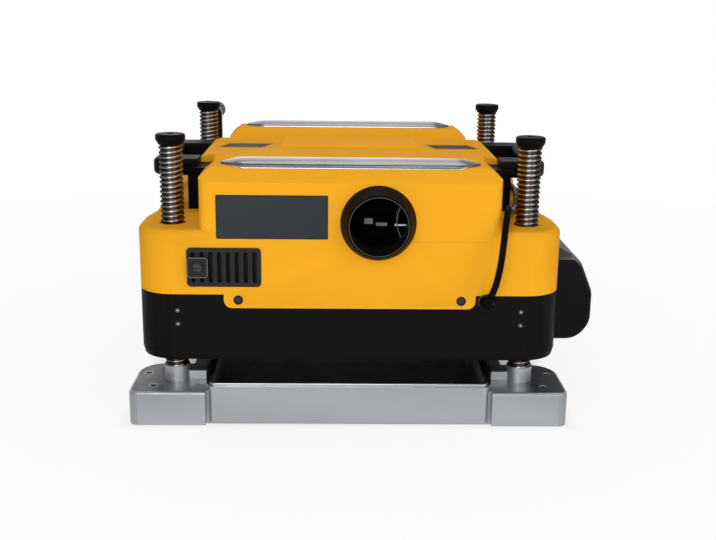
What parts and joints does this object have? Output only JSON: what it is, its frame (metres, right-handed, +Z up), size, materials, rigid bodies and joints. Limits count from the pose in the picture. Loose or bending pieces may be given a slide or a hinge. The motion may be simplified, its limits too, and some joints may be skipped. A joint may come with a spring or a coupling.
{
  "type": "benchtop planer",
  "caption": "Portable thickness planer: a cutterhead carriage that rides on threaded corner posts over a flat table, with carrying handles, chip port, lift crank and mains cord.",
  "frame": {"origin": "middle of the base on the bench top", "axes": "+X along the cutterhead towards the drive cover, +Y from outfeed to infeed, +Z up"},
  "size_m": [0.592, 0.6922, 0.3558],
  "materials": {
    "base_grey": "painted satin",
    "table_steel": "ground",
    "post_chrome": "polished",
    "black_plastic": "satin",
    "black_gloss": "gloss",
    "yellow_shell": "gloss",
    "rail_chrome": "polished",
    "cover_grey": "satin",
    "frame_alloy": "cast",
    "steel": "machined",
    "crank_black": "powder coated",
    "iron": "raw",
    "roller_rubber": "matte",
    "belt_rubber": "matte",
    "nut_brass": "machined",
    "cord_rubber": "gloss",
    "switch_red": "gloss",
    "scale_white": "satin"
  },
  "bodies": {
    "base": {"base_casting": "base_grey", "table_plate": "table_steel", "post_outfeed_left": "post_chrome", "post_outfeed_right": "post_chrome", "post_infeed_left": "post_chrome", "post_infeed_right": "post_chrome", "post_caps": "black_plastic", "post_bolts": "steel", "depth_pointer": "steel", "cord_coil": "cord_rubber", "plug": "black_plastic"},
    "head": {"lower_skirt": "black_plastic", "mid_housing": "yellow_shell", "hood": "yellow_shell", "carry_rails": "rail_chrome", "handle_left": "black_plastic", "handle_right": "black_plastic", "vent_grille": "black_plastic", "brush_cap": "black_plastic", "chip_port": "black_gloss", "fan_housing": "black_plastic", "housing_screws": "steel", "head_frame": "frame_alloy", "motor_housing": "frame_alloy", "stator": "iron", "ball_bearings": "steel", "roller_bushes": "nut_brass", "gear_plate": "steel", "drive_cover": "cover_grey", "drive_belt": "belt_rubber", "feed_chain": "steel", "lift_chain": "steel", "control_panel": "black_plastic", "depth_scale": "scale_white", "chip_deflector": "steel", "cord_gland": "black_plastic", "cord_upper": "cord_rubber", "cord_drop": "cord_rubber"},
    "cutter": {"cutterhead": "steel", "knives": "steel", "knife_clamps": "steel", "cutter_pulley": "steel"},
    "motor_rotor": {"rotor": "steel", "impeller": "black_plastic"},
    "roller_outfeed": {"outfeed_roller": "roller_rubber", "outfeed_sprocket": "steel"},
    "roller_infeed": {"infeed_roller": "roller_rubber", "infeed_sprocket": "steel"},
    "first_gear": {"gear_first": "steel"},
    "second_gear": {"gear_second": "steel"},
    "lift_nut_outfeed_left": {"nut_outfeed_left": "nut_brass"},
    "lift_nut_outfeed_right": {"nut_outfeed_right": "nut_brass"},
    "lift_nut_infeed_left": {"nut_infeed_left": "nut_brass"},
    "lift_nut_infeed_right": {"nut_infeed_right": "nut_brass"},
    "hand_crank": {"crank": "crank_black"},
    "grip": {"crank_grip": "black_plastic"},
    "paddle": {"switch_paddle": "switch_red"},
    "breaker": {"breaker_button": "black_plastic"},
    "stop": {"stop_knob": "black_plastic"}
  },
  "joints": [
    {"name": "head_lift", "type": "slide", "parent": "base", "child": "head", "axis": [0, 0, 1], "range_m": [-0.028, 0.088], "deforming": ["cord_drop"]},
    {"name": "cutter_spin", "type": "hinge", "parent": "head", "child": "cutter", "pos_m": [0, 0, 0.109], "axis": [1, 0, 0], "continuous": true},
    {"name": "motor_spin", "type": "hinge", "parent": "head", "child": "motor_rotor", "pos_m": [0, -0.12, 0.19], "axis": [1, 0, 0], "continuous": true},
    {"name": "first_gear_spin", "type": "hinge", "parent": "head", "child": "first_gear", "pos_m": [0.268, 0.03, 0.1457], "axis": [1, 0, 0], "continuous": true},
    {"name": "second_gear_spin", "type": "hinge", "parent": "head", "child": "second_gear", "pos_m": [0.276, -0.01458, 0.1296], "axis": [1, 0, 0], "continuous": true},
    {"name": "outfeed_roller_spin", "type": "hinge", "parent": "head", "child": "roller_outfeed", "pos_m": [0, -0.072, 0.104], "axis": [1, 0, 0], "continuous": true},
    {"name": "infeed_roller_spin", "type": "hinge", "parent": "head", "child": "roller_infeed", "pos_m": [0, 0.072, 0.104], "axis": [1, 0, 0], "continuous": true},
    {"name": "nut_outfeed_left_turn", "type": "hinge", "parent": "head", "child": "lift_nut_outfeed_left", "pos_m": [-0.218, -0.195, 0.135], "axis": [0, 0, 1], "range_deg": [-1690, 5290]},
    {"name": "nut_outfeed_right_turn", "type": "hinge", "parent": "head", "child": "lift_nut_outfeed_right", "pos_m": [0.218, -0.195, 0.135], "axis": [0, 0, 1], "range_deg": [-1690, 5290]},
    {"name": "nut_infeed_left_turn", "type": "hinge", "parent": "head", "child": "lift_nut_infeed_left", "pos_m": [-0.218, 0.195, 0.135], "axis": [0, 0, 1], "range_deg": [-1690, 5290]},
    {"name": "nut_infeed_right_turn", "type": "hinge", "parent": "head", "child": "lift_nut_infeed_right", "pos_m": [0.218, 0.195, 0.135], "axis": [0, 0, 1], "range_deg": [-1690, 5290]},
    {"name": "crank_turn", "type": "hinge", "parent": "head", "child": "hand_crank", "pos_m": [-0.218, 0.252, 0.205], "axis": [0, 1, 0], "range_deg": [-4860, 15300]},
    {"name": "grip_spin", "type": "hinge", "parent": "hand_crank", "child": "grip", "pos_m": [-0.218, 0.292, 0.331], "axis": [0, 1, 0], "continuous": true},
    {"name": "paddle_rock", "type": "hinge", "parent": "head", "child": "paddle", "pos_m": [0.09, 0.255, 0.205], "axis": [1, 0, 0], "range_deg": [-10, 10]},
    {"name": "breaker_press", "type": "slide", "parent": "head", "child": "breaker", "axis": [0, 1, 0], "range_m": [-0.004, 0], "stiffness_N_per_m": 200, "springref_m": 0.002},
    {"name": "stop_turn", "type": "hinge", "parent": "head", "child": "stop", "pos_m": [0.12, 0.25, 0.124], "axis": [0, 1, 0], "continuous": true}
  ],
  "couplings": [
    {"joint": "motor_spin", "follows": "cutter_spin", "ratio": 1.8182},
    {"joint": "first_gear_spin", "follows": "cutter_spin", "ratio": -0.11905},
    {"joint": "second_gear_spin", "follows": "cutter_spin", "ratio": 0.014172},
    {"joint": "outfeed_roller_spin", "follows": "cutter_spin", "ratio": -0.006614},
    {"joint": "infeed_roller_spin", "follows": "cutter_spin", "ratio": -0.006614},
    {"joint": "crank_turn", "follows": "head_lift", "rad_per_m": 3025.2},
    {"joint": "nut_outfeed_left_turn", "follows": "head_lift", "rad_per_m": 1047.2},
    {"joint": "nut_outfeed_right_turn", "follows": "head_lift", "rad_per_m": 1047.2},
    {"joint": "nut_infeed_left_turn", "follows": "head_lift", "rad_per_m": 1047.2},
    {"joint": "nut_infeed_right_turn", "follows": "head_lift", "rad_per_m": 1047.2}
  ]
}
